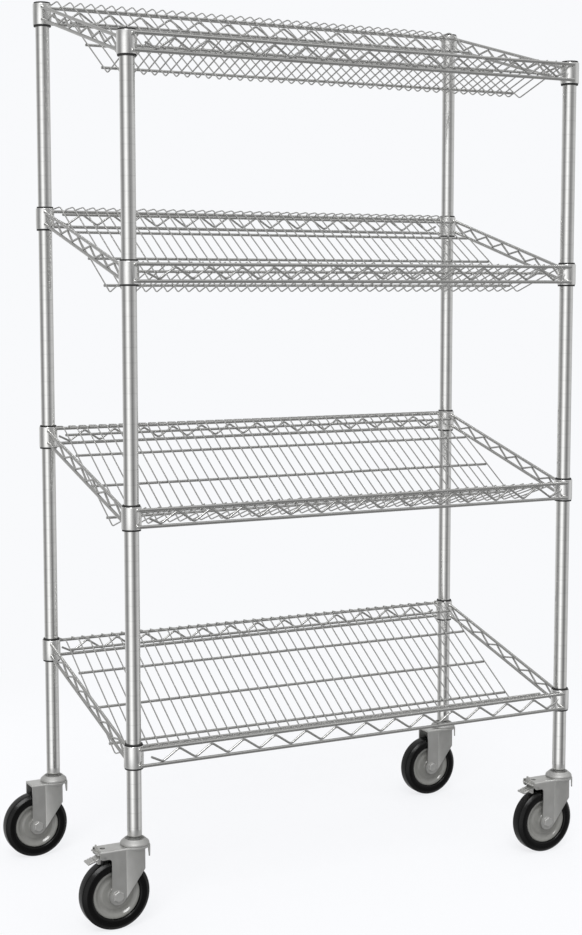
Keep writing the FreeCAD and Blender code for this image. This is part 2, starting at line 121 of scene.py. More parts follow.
# Mat of bent wires: (y, z) of its trough and crest, and the cross wires by how far behind the trough
MAT_R = 1.25
MAT_COUNT = 40
MAT_PITCH = 20.35
MAT_EDGE = SPAN_X / 2 - COLLAR_R - MAT_R - WELD_GAP
TROUGH = (-73.7, -32.1)
CREST = (177.0, 124.6)
SLOPE = (CREST[1] - TROUGH[1]) / (CREST[0] - TROUGH[0])
TROUGH_BEND = 12.0
CREST_BEND = 25.0
CROSS_R = 2.5
CROSS_OVERHANG = 1.5
SLOPE_WIRES = (233.7, 179.7, 102.2, 25.7)
LIP_WIRE = -94.3

# Casters: the swivel's axis is on Z, the wheel trails to -X
TRAIL = 38.0
WHEEL_R = 61.0
AXLE = (-TRAIL, 0, WHEEL_R)
AXLE_R = 5.0
CROWN_TOP = 141.5
CROWN_BOTTOM = 137.5
CROWN_R = 26.5
KINGPIN_R = 5.0
KINGPIN_HEAD_R = 8.0
KINGPIN_GAP = 0.3
KINGPIN_HEAD_HEIGHT = 3.0
STEM_LENGTH = 60.0
SHOULDER = 3.2
DECK_Z = CROWN_TOP - SHOULDER
FORK_IN = 17.0
FORK_OUT = 19.5
LEG_FRONT = 11.1
LEG_REAR = -48.7
KNEE = (LEG_FRONT, 102.5)
KNEE_BEND = 7.0
BOSS_R = 15.0
BOSS_END = (-26.6, 51.3)
CREASE_FOOT = -23.0
CREASE_TOP = -21.4
PRESS_DEPTH = 0.7
PRESS_SEAT = 0.1

# Brakes of the front casters: (x, z) of the pedal's pin, (x, radius) of the deck's hole
DECK_REAR = -67.0
EAR_REAR = -69.0
EAR_LOW = 127.1
EAR_CORNER = 5.0
EAR_BLEND = 5.5
PIN = (-61.0, 130.5)
PIN_R = 2.0
BRAKE_HOLE = (-58.5, 4.6)
PEDAL_BEND = (-74.0, 124.5)
PEDAL_TIP = (-88.0, 120.0)
PEDAL_HALF = 10.5
PEDAL_THICKNESS = 2.5
PEDAL_RIDGES = 3
BARREL_R = 3.5
BARREL_HALF = 16.5
SHOE_NEAR = -65.5
SHOE_FAR = -71.0
SHOE_LOW = 118.0
PLATE_FRONT = -44.0
PLATE_HALF = 16.7
PLATE_THICKNESS = 2.0
PLATE_TEETH = 5
TOOTH_ROOT = -71.0
TOOTH_TIP = -73.6


# Mesh helpers: everything is drawn in millimetres and stored in metres

class Shape:
    """Vertices and faces collected from several forms into one mesh."""

    def __init__(self):
        self.verts = []
        self.faces = []

    def add(self, verts, faces):
        base = len(self.verts)
        self.verts += [tuple(v) for v in verts]
        self.faces += [tuple(base + i for i in face) for face in faces]

    def mesh(self, name, smooth_angle=40.0):
        """The finished mesh, smooth but for edges sharper than an angle in degrees."""
        mesh = bpy.data.meshes.new(name)
        mesh.from_pydata([Vector(v) * MM for v in self.verts], [], self.faces)
        mesh.validate()
        for polygon in mesh.polygons:
            polygon.use_smooth = True
        mesh.set_sharp_from_angle(angle=math.radians(smooth_angle))
        return mesh


def joined(mesh):
    """The same mesh with points that coincide made one and all faces turned outwards."""
    work = bmesh.new()
    work.from_mesh(mesh)
    bmesh.ops.remove_doubles(work, verts=work.verts, dist=SAME_SPOT * MM)
    bmesh.ops.recalc_face_normals(work, faces=work.faces)
    work.to_mesh(mesh)
    work.free()
    return mesh


def ring_faces(rings, sides):
    """Faces that join each ring of a round form to the next one, and one that closes each end."""
    faces = []
    for ring in range(rings - 1):
        for side in range(sides):
            after = (side + 1) % sides
            faces.append((ring * sides + side, ring * sides + after,
                          (ring + 1) * sides + after, (ring + 1) * sides + side))
    faces.append(tuple(range(sides - 1, -1, -1)))
    faces.append(tuple((rings - 1) * sides + side for side in range(sides)))
    return faces


def tube(path, radius, sides):
    """A round wire along a path that lies in one plane, with slightly rounded ends."""
    path = [Vector(p) for p in path]
    runs = [(b - a).normalized() for a, b in zip(path, path[1:])]
    normal = Vector((0, 0, 0))
    for first, second in zip(runs, runs[1:]):
        normal += first.cross(second)
    if normal.length < 1e-6:
        normal = runs[0].orthogonal()
    normal.normalize()
    edge = radius / 4
    stations = [(path[0], runs[0], radius - edge), (path[0] + runs[0] * edge, runs[0], radius)]
    for corner, before, after in zip(path[1:-1], runs, runs[1:]):
        stations.append((corner, (before + after).normalized(), radius))
    stations.append((path[-1] - runs[-1] * edge, runs[-1], radius))
    stations.append((path[-1], runs[-1], radius - edge))
    verts = []
    for centre, heading, reach in stations:
        beside = normal.cross(heading).normalized()
        for side in range(sides):
            turn = 2 * math.pi * side / sides
            verts.append(centre + normal * (reach * math.cos(turn)) + beside * (reach * math.sin(turn)))
    return verts, ring_faces(len(stations), sides)


def rounded(corners, radius, steps):
    """The corners of a path with each inner one turned into an arc that fits its two runs."""
    corners = [Vector(c) for c in corners]
    run_share = 0.48
    path = [corners[0]]
    for before, corner, after in zip(corners, corners[1:], corners[2:]):
        back = (before - corner).normalized()
        on = (after - corner).normalized()
        half = back.angle(on) / 2
        room = min((before - corner).length, (after - corner).length) * run_share
        cut = min(radius / math.tan(half), room)
        bend = cut * math.tan(half)
        centre = corner + (back + on).normalized() * (bend / math.sin(half))
        start = corner + back * cut - centre
        end = corner + on * cut - centre
        for step in range(steps + 1):
            spot = start.lerp(end, step / steps)
            path.append(centre + spot.normalized() * bend)
    path.append(corners[-1])
    return path


def lathe(profile, segments, axis="Z", centre=(0, 0, 0), start=0.0, end=360.0):
    """A closed profile of (radius, station) points turned about an axis, all the way or part of it."""
    whole = abs(end - start - 360.0) < 1e-6
    count = segments if whole else segments + 1
    verts = []
    index = {}
    faces = []
    for step in range(count):
        turn = math.radians(start + (end - start) * step / segments)
        for k, (radius, station) in enumerate(profile):
            if radius == 0 and step > 0:
                index[(step, k)] = index[(0, k)]
                continue
            u, v = radius * math.cos(turn), radius * math.sin(turn)
            spot = (u, v, station) if axis == "Z" else (v, station, u)
            index[(step, k)] = len(verts)
            verts.append(tuple(c + s for c, s in zip(centre, spot)))
    size = len(profile)
    for step in range(segments):
        following = (step + 1) % count
        for k in range(size):
            nxt = (k + 1) % size
            if profile[k][0] == 0 and profile[nxt][0] == 0:
                continue
            ring = [index[(step, k)], index[(following, k)], index[(following, nxt)], index[(step, nxt)]]
            faces.append(tuple(dict.fromkeys(ring)))
    if not whole:
        faces.append(tuple(index[(0, k)] for k in range(size)))
        faces.append(tuple(index[(count - 1, k)] for k in reversed(range(size))))
    return verts, faces


def mirrored(side):
    """A profile from one side of the middle plane to the other; a point on that plane counts once."""
    return side + [(radius, -station) for radius, station in reversed(side) if station]


def loft(rings):
    """Points and faces of a form that runs from one outline to the next, closed at both ends."""
    count = len(rings[0])
    last = count * (len(rings) - 1)
    faces = [tuple(range(count)), tuple(range(last + count - 1, last - 1, -1))]
    for base in range(0, last, count):
        for k in range(count):
            nxt = (k + 1) % count
            faces.append((base + nxt, base + k, base + count + k, base + count + nxt))
    return [spot for ring in rings for spot in ring], faces


def slab(outline, low, high, plane="XZ", far_outline=None):
    """A flat plate: a closed outline in one plane, given thickness along the third axis.

    The far side may have an outline of its own with as many corners, so that its edges slope."""
    def place(a, b, c):
        return (a, c, b) if plane == "XZ" else (a, b, c)
    near = [place(a, b, low) for a, b in outline]
    far = [place(a, b, high) for a, b in far_outline or outline]
    return loft([near, far])


def strip(section, rear, front):
    """A bar of constant section in (y, z) between two places along X."""
    return loft([[(x, y, z) for y, z in section] for x in (rear, front)])


def arc(centre, radius, start, end, steps):
    """Points of an arc in a plane, from one angle to another in degrees."""
    spots = []
    for step in range(steps + 1):
        turn = math.radians(start + (end - start) * step / steps)
        spots.append((centre[0] + radius * math.cos(turn), centre[1] + radius * math.sin(turn)))
    return spots


def piece(name, mesh, body, material, replaces=(), at=(0, 0, 0), bevel=0.0):
    """A visible piece that rides on a body and may stand for CAD nodes."""
    obj = bpy.data.objects.new(name, mesh)
    bpy.context.scene.collection.objects.link(obj)
    obj.location = Vector(at) * MM
    if not mesh.materials:
        mesh.materials.append(material)
    if bevel:
        edge = obj.modifiers.new("edge", "BEVEL")
        edge.width = bevel * MM
        edge.segments = 2
        edge.limit_method = "ANGLE"
        edge.angle_limit = math.radians(35)
    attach(obj, body)
    if replaces:
        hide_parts(*replaces)


# Shader helpers

def node(tree, kind, **settings):
    made = tree.nodes.new("ShaderNode" + kind)
    for name, value in settings.items():
        setattr(made, name, value)
    return made


def calculate(tree, operation, first, second):
    """A sum on a socket and another socket or a number."""
    made = node(tree, "Math", operation=operation)
    tree.links.new(first, made.inputs[0])
    if isinstance(second, float):
        made.inputs[1].default_value = second
    else:
        tree.links.new(second, made.inputs[1])
    return made.outputs[0]


def share_between(tree, source, low, high, **settings):
    """Where a value lies between two others, from 0 to 1."""
    made = node(tree, "MapRange", **settings)
    made.inputs["From Min"].default_value = low
    made.inputs["From Max"].default_value = high
    tree.links.new(source, made.inputs["Value"])
    return made.outputs[0]


def ramp(tree, source, stops):
    """Colour ramp over a socket's value; stops are (place, value or colour)."""
    made = node(tree, "ValToRGB")
    tree.links.new(source, made.inputs["Fac"])
    elements = made.color_ramp.elements
    while len(elements) < len(stops):
        elements.new(0.5)
    for element, (place, value) in zip(elements, stops):
        element.position = place
        colour = value if isinstance(value, tuple) else (value, value, value)
        element.color = (*colour, 1)
    return made.outputs["Color"]


def noise(tree, scale, detail, stretch=(1, 1, 1)):
    """Fine noise fixed to the piece, which may be drawn out along an axis."""
    coords = node(tree, "TexCoord")
    mapping = node(tree, "Mapping")
    mapping.inputs["Scale"].default_value = stretch
    tree.links.new(coords.outputs["Object"], mapping.inputs["Vector"])
    texture = node(tree, "TexNoise")
    texture.inputs["Scale"].default_value = scale
    texture.inputs["Detail"].default_value = detail
    texture.inputs["Roughness"].default_value = 0.55
    tree.links.new(mapping.outputs["Vector"], texture.inputs["Vector"])
    return texture.outputs["Fac"]


def bump(tree, shader, source, strength, distance):
    made = node(tree, "Bump")
    made.inputs["Strength"].default_value = strength
    made.inputs["Distance"].default_value = distance
    tree.links.new(source, made.inputs["Height"])
    tree.links.new(made.outputs["Normal"], shader.inputs["Normal"])


def glow(tree, kind, colour, strength=1.0):
    """Light of one colour from an emission or background shader."""
    made = node(tree, kind)
    made.inputs["Color"].default_value = (*colour, 1)
    made.inputs["Strength"].default_value = strength
    return made.outputs[0]


def matt_paint(tree, colour):
    made = node(tree, "BsdfDiffuse")
    made.inputs["Color"].default_value = (*colour, 1)
    return made.outputs[0]


def choose(tree, factor, first, second):
    """One shader where the factor is 0, the other where it is 1."""
    made = node(tree, "MixShader")
    tree.links.new(factor, made.inputs["Fac"])
    tree.links.new(first, made.inputs[1])
    tree.links.new(second, made.inputs[2])
    return made.outputs[0]


def new_material(name):
    material = bpy.data.materials.new(name)
    material.use_nodes = True
    return material, material.node_tree, material.node_tree.nodes["Principled BSDF"]


# Materials

def chrome(name, tone, rough, spread):
    """Chrome plate with faint cloudiness in its tone and polish."""
    material, tree, shader = new_material(name)
    shader.inputs["Metallic"].default_value = 1.0
    shades = [(0.3, tuple(c * 0.94 for c in tone)), (0.7, tone)]
    clouds = noise(tree, scale=60.0, detail=5.0)
    tree.links.new(ramp(tree, clouds, shades), shader.inputs["Base Color"])
    haze = noise(tree, scale=220.0, detail=3.0)
    tree.links.new(ramp(tree, haze, [(0.35, rough), (0.75, rough + spread)]), shader.inputs["Roughness"])
    bump(tree, shader, noise(tree, scale=1500.0, detail=2.0), strength=0.04, distance=0.0002)
    return material


def post_chrome():
    """Chrome plate for the posts, with painted shade: its base colour is darker in the fine groove ring at
    every inch.
    """
    material = chrome("post_chrome_plate", (0.86, 0.86, 0.85), 0.07, 0.06)
    tree = material.node_tree
    shader = tree.nodes["Principled BSDF"]
    plain = shader.inputs["Base Color"].links[0].from_socket
    coords = node(tree, "TexCoord")
    parts = node(tree, "SeparateXYZ")
    tree.links.new(coords.outputs["Object"], parts.inputs[0])
    half_step = GROOVE_STEP / 2 * MM
    above = calculate(tree, "SUBTRACT", parts.outputs["Z"], (POST_FOOT + GROOVE_START) * MM)
    away = calculate(tree, "PINGPONG", above, half_step)
    # Painted shade: the base colour drops to 0.93 at the middle of each groove ring and stands in for the
    # shade in the groove
    ring = ramp(tree, share_between(tree, away, 0.0, half_step), [(0.0, 0.93), (0.06, 0.94), (0.12, 1.0)])
    mix = node(tree, "Mix", data_type="RGBA", blend_type="MULTIPLY")
    mix.inputs["Factor"].default_value = 1.0
    tree.links.new(plain, mix.inputs["A"])
    tree.links.new(ring, mix.inputs["B"])
    tree.links.new(mix.outputs["Result"], shader.inputs["Base Color"])
    return material


def satin_zinc(name, low, high, metallic, rough):
    """Pressed steel, zinc plated: satin, with a fine rolled grain and slight clouding."""
    material, tree, shader = new_material(name)
    shader.inputs["Metallic"].default_value = metallic
    clouds = noise(tree, scale=45.0, detail=5.0)
    tree.links.new(ramp(tree, clouds, [(0.3, low), (0.7, high)]), shader.inputs["Base Color"])
    grain = noise(tree, scale=700.0, detail=3.0, stretch=(1, 1, 0.06))
    tree.links.new(ramp(tree, grain, [(0.3, rough), (0.7, rough + 0.12)]), shader.inputs["Roughness"])
    bump(tree, shader, grain, strength=0.12, distance=0.0003)
    return material


def moulded(name, low, high, rough, skin_scale=900.0, skin_depth=0.15, specular=0.5):
    """Moulded plastic or rubber with a fine skin and slight tonal drift."""
    material, tree, shader = new_material(name)
    shader.inputs["Specular IOR Level"].default_value = specular
    clouds = noise(tree, scale=30.0, detail=4.0)
    tree.links.new(ramp(tree, clouds, [(0.3, low), (0.7, high)]), shader.inputs["Base Color"])
    skin = noise(tree, scale=skin_scale, detail=3.0)
    tree.links.new(ramp(tree, skin, [(0.3, rough - 0.06), (0.7, rough + 0.06)]), shader.inputs["Roughness"])
    bump(tree, shader, skin, strength=skin_depth, distance=0.0003)
    return material


POST_CHROME = post_chrome()
COLLAR_CHROME = chrome("collar_chrome_plate", (0.92, 0.92, 0.91), 0.17, 0.07)
WIRE_CHROME = chrome("wire_chrome_plate", (0.54, 0.54, 0.53), 0.22, 0.10)
ZINC = satin_zinc("zinc_plate", (0.57, 0.57, 0.555), (0.64, 0.64, 0.625), 0.92, 0.32)
CUP_ZINC = satin_zinc("cup_zinc_plate", (0.42, 0.42, 0.41), (0.48, 0.48, 0.47), 0.70, 0.50)
BLACK = moulded("black_sleeve", (0.012, 0.012, 0.012), (0.022, 0.022, 0.022), 0.55)
HUB_GREY = moulded("wheel_grey", (0.195, 0.195, 0.183), (0.235, 0.235, 0.223), 0.15,
                   skin_depth=0.05, specular=0.85)
RUBBER = moulded("rubber", (0.0012, 0.0012, 0.0012), (0.0024, 0.0024, 0.0024), 0.25,
                 skin_scale=600.0, specular=0.24)


# Posts, caps, sleeves

def rise_at(y):
    """How much higher the back collars sit than the front ones."""
    return BACK_RISE if y > 0 else 0.0


def post_top(y):
    """The open end of a post, just under its cap's flange."""
    return HEIGHTS[-1] + rise_at(y) + SLEEVE_HALF - CAP_FLANGE


def post_profile(top):
    """Outer line of a tube with a shallow groove every inch, between the two ends of its bore."""
    bore = POST_R - POST_WALL
    line = [(bore, POST_FOOT), (POST_R - POST_EDGE, POST_FOOT), (POST_R, POST_FOOT + POST_EDGE)]
    station = POST_FOOT + GROOVE_START
    while station < top - GROOVE_STEP / 4:
        line += [(POST_R - depth, station + along) for along, depth in GROOVE_LINE]
        station += GROOVE_STEP
    return line + [(POST_R, top - POST_EDGE), (POST_R - POST_EDGE, top), (bore, top)]


def build_posts():
    meshes = {}
    for name, (x, y) in CORNERS.items():
        top = post_top(y)
        if top not in meshes:
            shape = Shape()
            shape.add(*lathe(post_profile(top), 40))
            meshes[top] = shape.mesh("post_%d" % round(top), 60.0)
        piece("chrome_post_" + name, meshes[top], "root", POST_CHROME,
              ["post_" + name], (x, y, 0))


def build_caps():
    caps = Shape()
    for x, y in CORNERS.values():
        top = post_top(y)
        profile = [(0, top - CAP_PLUG_LENGTH), (PLUG_R, top - CAP_PLUG_LENGTH), (PLUG_R, top),
                   (POST_R - 0.1, top), (POST_R, top + 0.3), (POST_R - 0.25, top + 1.0),
                   (POST_R - 1.1, top + 1.6), (POST_R - 3.5, top + 1.9), (0, top + CAP_FLANGE)]
        caps.add(*lathe(profile, 32, centre=(x, y, 0)))
    mesh = caps.mesh("post_end_caps", 50.0)
    piece("post_end_caps", mesh, "root", COLLAR_CHROME, ["post_caps"])


def build_sleeves():
    half, edge = SLEEVE_HALF, SLEEVE_EDGE
    profile = [(SLEEVE_BORE_R, -half), (SLEEVE_FOOT_R - edge, -half), (SLEEVE_FOOT_R, edge - half),
               (SLEEVE_FOOT_R - 0.08, -TAPER_HALF), (SLEEVE_TOP_R + 0.1, TAPER_HALF),
               (SLEEVE_TOP_R, half - edge), (SLEEVE_TOP_R - edge, half), (SLEEVE_BORE_R, half)]
    for number, height in enumerate(HEIGHTS, 1):
        shape = Shape()
        for x, y in CORNERS.values():
            centre = (x, y, height + rise_at(y))
            for start in (SLEEVE_SPLIT, 180.0 + SLEEVE_SPLIT):
                end = start + 180.0 - 2 * SLEEVE_SPLIT
                shape.add(*lathe(profile, 20, centre=centre, start=start, end=end))
        piece("split_sleeves_%d" % number, shape.mesh("split_sleeves_%d" % number), "root",
              BLACK, ["sleeves_shelf_%d" % number])


# Shelves, drawn once with the middle of the front collars at Z = 0

def side_z(y):
    """Height of the upper side wire, which slants from front to back."""
    rise = BACK_RISE + SIDE_BACK_RISE - SIDE_FRONT_RISE
    return SIDE_FRONT_RISE + rise * (y - FRONT) / SPAN_Y


def collars_mesh():
    shape = Shape()
    low = -COLLAR_HALF
    side = [(COLLAR_BORE_R, low + 0.5), (COLLAR_BORE_R + 0.32, low), (COLLAR_R - 0.6, low),
            (COLLAR_R - 0.15, low + 0.2), (COLLAR_R, low + 0.7)]
    for x, y in CORNERS.values():
        shape.add(*lathe(mirrored(side), 48, centre=(x, y, rise_at(y))))
    return shape.mesh("collars", 50.0)


def weld_bead(shape, centre):
    """A small flattened bead of weld metal."""
    reach, lift = 2.6, 1.5
    rings, sides = 4, 8
    verts = []
    for ring in range(rings):
        tilt = math.pi * (ring + 1) / (rings + 1)
        for side in range(sides):
            turn = 2 * math.pi * side / sides
            across = reach * math.sin(tilt)
            verts.append((centre[0] + across * math.cos(turn), centre[1] + lift * math.cos(tilt),
                          centre[2] + across * math.sin(turn)))
    shape.add(verts, ring_faces(rings, sides))


def frame_mesh():
    """Two wires along each side of the shelf, with weld beads where the front ones meet the collars."""
    shape = Shape()
    back_seat = math.sqrt(COLLAR_R ** 2 - BACK_OFFSET ** 2) - WIRE_SUNK
    side_seat = math.sqrt(COLLAR_R ** 2 - SIDE_OFFSET ** 2) - WIRE_SUNK
    wires = []
    for height in (-FRAME_PITCH / 2, FRAME_PITCH / 2):
        wires.append([(LEFT + FRONT_WIRE_INSET, FRONT_Y, height),
                      (RIGHT - FRONT_WIRE_INSET, FRONT_Y, height)])
        wires.append([(LEFT + back_seat, BACK_Y, BACK_RISE + height),
                      (RIGHT - back_seat, BACK_Y, BACK_RISE + height)])
        for x in (LEFT + WELD_INSET, RIGHT - WELD_INSET):
            weld_bead(shape, (x, FRONT_Y + FRAME_R, height))
    low, high = FRONT + side_seat, BACK - side_seat
    for x in (LEFT - SIDE_OFFSET, RIGHT + SIDE_OFFSET):
        for drop in (0, SIDE_DROP):
            wires.append([(x, low, side_z(low) - drop), (x, high, side_z(high) - drop)])
    for wire in wires:
        shape.add(*tube(wire, FRAME_R, 16))
    return shape.mesh("frame_wires")


def zigzag(first, pitch, count, swing, lead):
    """Corners of a zigzag as (along, aside), with a level point a lead before and after them."""
    spots = [(first - lead, 0.0)] if lead else []
    for step in range(count):
        spots.append((first + step * pitch / 2, swing if step % 2 else -swing))
    if lead:
        spots.append((first + (count - 1) * pitch / 2 + lead, 0.0))
    return spots


def lacing_mesh():
    """A zigzag wire on each side of the shelf; those at the ends slant with the side wires."""
    shape = Shape()
    first = -(LACING_CORNERS - 1) / 4 * LACING_PITCH
    for y, height in ((FRONT_Y, 0.0), (BACK_Y, BACK_RISE)):
        spots = zigzag(first, LACING_PITCH, LACING_CORNERS, LACING_SWING, LACING_LEAD)
        path = rounded([(SHIFT + a, y, height + b) for a, b in spots], LACING_BEND, 6)
        shape.add(*tube(path, LACING_R, 12))
    tilt = math.atan2(side_z(BACK) - side_z(FRONT), SPAN_Y)
    along_y, along_z = math.cos(tilt), math.sin(tilt)
    middle = side_z(FRONT) - SIDE_DROP / 2
    spots = zigzag(SIDE_LACING_START, SIDE_LACING_PITCH, SIDE_LACING_CORNERS, SIDE_LACING_SWING, 0.0)
    for x in (LEFT - SIDE_OFFSET, RIGHT + SIDE_OFFSET):
        path = [(x, FRONT + a * along_y - b * along_z, middle + a * along_z + b * along_y)
                for a, b in spots]
        shape.add(*tube(rounded(path, LACING_BEND, 6), LACING_R, 12))
    return shape.mesh("lacing")


def tangent_end(corner, centre, distance):
    """Where a line from the corner grazes over a circle, in (y, z)."""
    away_y, away_z = corner[0] - centre[0], corner[1] - centre[1]
    lean = math.acos(distance / math.hypot(away_y, away_z))
    heading = math.atan2(away_z, away_y) - math.copysign(lean, -away_y)
    return centre[0] + distance * math.cos(heading), centre[1] + distance * math.sin(heading)


def mat_ends():
    """Where a mat wire lies over the upper front and back wires, in (y, z)."""
    grip = FRAME_R + MAT_R
    front = tangent_end(TROUGH, (FRONT_Y, FRAME_PITCH / 2), grip)
    back = tangent_end(CREST, (BACK_Y, BACK_RISE + FRAME_PITCH / 2), grip)
    return front, back


def mat_mesh():
    """Evenly spaced bent wires, and one more beside the collars at each end."""
    shape = Shape()
    front, back = mat_ends()
    corners = [(0.0, *front), (0.0, *TROUGH), (0.0, *CREST), (0.0, *back)]
    lip_side = rounded(corners[:3], TROUGH_BEND, 8)[:-1]
    back_side = rounded(corners[1:], CREST_BEND, 8)[1:]
    middle = (MAT_COUNT - 1) / 2
    places = [-MAT_EDGE] + [(step - middle) * MAT_PITCH for step in range(MAT_COUNT)] + [MAT_EDGE]
    for place in places:
        path = [spot + Vector((SHIFT + place, 0, 0)) for spot in lip_side + back_side]
        shape.add(*tube(path, MAT_R, 10))
    return shape.mesh("mat")


def cross_mesh():
    """Straight wires along the shelf: four under the slope of the mat, one on top of its lip."""
    shape = Shape()
    front = mat_ends()[0]
    lip = (TROUGH[1] - front[1]) / (TROUGH[0] - front[0])
    wires = [(setback, SLOPE, -1) for setback in SLOPE_WIRES] + [(LIP_WIRE, lip, 1)]
    reach = MAT_EDGE + CROSS_OVERHANG
    for setback, steep, side in wires:
        y = TROUGH[0] + setback
        z = TROUGH[1] + steep * setback + side * (CROSS_R + MAT_R) * math.sqrt(1 + steep ** 2)
        shape.add(*tube([(SHIFT - reach, y, z), (SHIFT + reach, y, z)], CROSS_R, 14))
    return shape.mesh("cross_wires")


def build_shelves():
    kinds = (("collars", collars_mesh(), "collar_chrome", COLLAR_CHROME),
             ("frame_wires", frame_mesh(), "wire_chrome", WIRE_CHROME),
             ("lacing", lacing_mesh(), "wire_chrome", WIRE_CHROME),
             ("mat", mat_mesh(), "wire_chrome", WIRE_CHROME),
             ("cross_wires", cross_mesh(), "wire_chrome", WIRE_CHROME))
    for number, height in enumerate(HEIGHTS, 1):
        for kind, mesh, slot_name, material in kinds:
            piece("round_%s_%d" % (kind, number), mesh, "shelf_%d" % number, material,
                  ["%s_shelf_%d" % (kind, number)], (0, 0, height))


# Casters, drawn with the post's axis on Z and the wheel trailing to -X

def stem_mesh():
    """Kingpin with its head, the swivel's hollow conical cup, and the plug in the post's foot."""
    head_top = CROWN_BOTTOM - KINGPIN_GAP
    head_low = head_top - KINGPIN_HEAD_HEIGHT
    cup_low = CROWN_TOP + KINGPIN_GAP
    plug_top = POST_FOOT + STEM_LENGTH
    kingpin = [(0, head_low), (KINGPIN_HEAD_R - 0.6, head_low), (KINGPIN_HEAD_R, head_low + 0.6),
               (KINGPIN_HEAD_R, head_top), (KINGPIN_R, head_top), (KINGPIN_R, cup_low)]
    cone = [(24.2, cup_low), (24.8, 142.2), (25.0, 143.0), (25.0, 144.0), (24.7, 145.2), (23.9, 146.4),
            (22.4, 147.8), (20.4, 149.4), (18.6, 151.0), (17.8, 151.8), (17.2, 152.1), (16.6, 152.0)]
    hollow = [(16.1, 151.5), (15.2, 149.0), (14.2, 147.2), (12.6, 146.6), (PLUG_R, 146.6)]
    shape = Shape()
    shape.add(*lathe(kingpin + cone + hollow + [(PLUG_R, plug_top), (0, plug_top)], 56))
    return shape.mesh("stem", 50.0)


def leg_outline(braked):
    """Outline of a leg in (x, z), from its top rear corner round to the top front corner."""
    axle = Vector((-TRAIL, WHEEL_R))
    away = Vector(KNEE) - axle
    knee_lift, knee_turn = 2.5, -28.0
    slant = math.degrees(math.atan2(away.y, away.x) - math.acos(BOSS_R / away.length))
    outline = [(LEG_REAR, DECK_Z)]
    if braked:
        outline = [(EAR_REAR, DECK_Z)]
        outline += arc((EAR_REAR + EAR_CORNER, EAR_LOW + EAR_CORNER), EAR_CORNER, 180, 270, 6)
        outline += arc((LEG_REAR - EAR_BLEND, EAR_LOW - EAR_BLEND), EAR_BLEND, 90, 0, 6)
    rear = 180.0 - math.degrees(math.acos((-LEG_REAR - TRAIL) / BOSS_R))
    outline += arc(tuple(axle), BOSS_R, rear, 360.0 + slant, 24)
    outline += arc((LEG_FRONT - KNEE_BEND, KNEE[1] + knee_lift), KNEE_BEND, knee_turn, 0.0, 5)
    outline += [(LEG_FRONT, DECK_Z)]
    return outline


def pressed_half(crease):
    """Outline of the front half of a leg, ahead of an upright crease, in (x, z)."""
    share = (KNEE[0] - crease) / (KNEE[0] - BOSS_END[0])
    low = Vector(KNEE).lerp(Vector(BOSS_END), share)
    return [(crease, DECK_Z), (crease, low.y), KNEE, (LEG_FRONT, DECK_Z)]


def holed_slab(shape, front, half, rear_edge, low, high):
    """A flat plate with the brake's round hole on its middle line, drawn as two halves.

    rear_edge runs from the middle line outwards, in (x, y)."""
    place, radius = BRAKE_HOLE
    for side in (-1, 1):
        outline = [(front, 0.0), (front, side * half)]
        outline += [(x, side * y) for x, y in reversed(rear_edge)]
        outline += arc((place, 0.0), radius, 180.0, 180.0 - side * 180.0, 14)
        shape.add(*slab(outline, low, high, "XY"))


def fork_mesh(braked):
    """Pressed fork: two legs that turn over rounded shoulders into the deck."""
    shape = Shape()
    outline = leg_outline(braked)
    rear = outline[0][0]
    middle = FORK_OUT - SHOULDER
    shoulder = arc((middle, DECK_Z), SHOULDER, 0, 90, 7) + [(middle, CROWN_BOTTOM)]
    shoulder += arc((middle, DECK_Z), FORK_IN - middle, 90, 0, 4)
    for side in (-1, 1):
        shape.add(*slab(outline, side * FORK_IN, side * FORK_OUT))
        shape.add(*slab(pressed_half(CREASE_FOOT), side * (FORK_OUT - PRESS_SEAT),
                        side * (FORK_OUT + PRESS_DEPTH), far_outline=pressed_half(CREASE_TOP)))
        shape.add(*strip([(side * y, z) for y, z in shoulder], rear, LEG_FRONT))
    if braked:
        rear_edge = [(DECK_REAR, 0.0), (DECK_REAR, middle)]
        holed_slab(shape, LEG_FRONT, middle, rear_edge, CROWN_BOTTOM, CROWN_TOP)
    else:
        deck = [(-middle, CROWN_BOTTOM), (middle, CROWN_BOTTOM), (middle, CROWN_TOP), (-middle, CROWN_TOP)]
        shape.add(*strip(deck, rear, LEG_FRONT))
    return joined(shape.mesh("fork_braked" if braked else "fork_plain"))


def crown_mesh():
    """Round front of the crown, and the lip that turns down from its front edge into two horns."""
    shape = Shape()
    top = CROWN_TOP + 0.15
    edge = CROWN_R - 0.9
    hole = KINGPIN_R + 0.4
    disc = [(hole, CROWN_BOTTOM), (edge - 0.8, CROWN_BOTTOM), (edge, CROWN_BOTTOM + 0.8), (edge, top - 0.9),
            (edge - 0.3, top - 0.25), (edge - 1.0, top), (hole, top)]
    shape.add(*lathe(disc, 56))
    steps, widest = 40, 47.0
    horn, horn_half, horn_depth = 34.0, 12.5, 17.0
    lip_depth, thickness, root = 2.0, 2.2, CROWN_BOTTOM + 1.5
    rings = []
    for step in range(steps + 1):
        degrees = widest * (2 * step / steps - 1)
        turn = math.radians(degrees)
        from_horn = min(abs(abs(degrees) - horn) / horn_half, 1.0)
        fading = math.sqrt(max(1 - (degrees / widest) ** 2, 0.0))
        low = CROWN_BOTTOM - 0.01 - max(horn_depth * (1 - from_horn ** 1.6), lip_depth * fading)
        section = [(CROWN_R, root), (CROWN_R, low + 0.5), (CROWN_R - 0.5, low), (CROWN_R - thickness, low),
                   (CROWN_R - thickness, root)]
        rings.append([(radius * math.cos(turn), radius * math.sin(turn), z) for radius, z in section])
    shape.add(*loft(rings))
    return joined(shape.mesh("crown", 45.0))


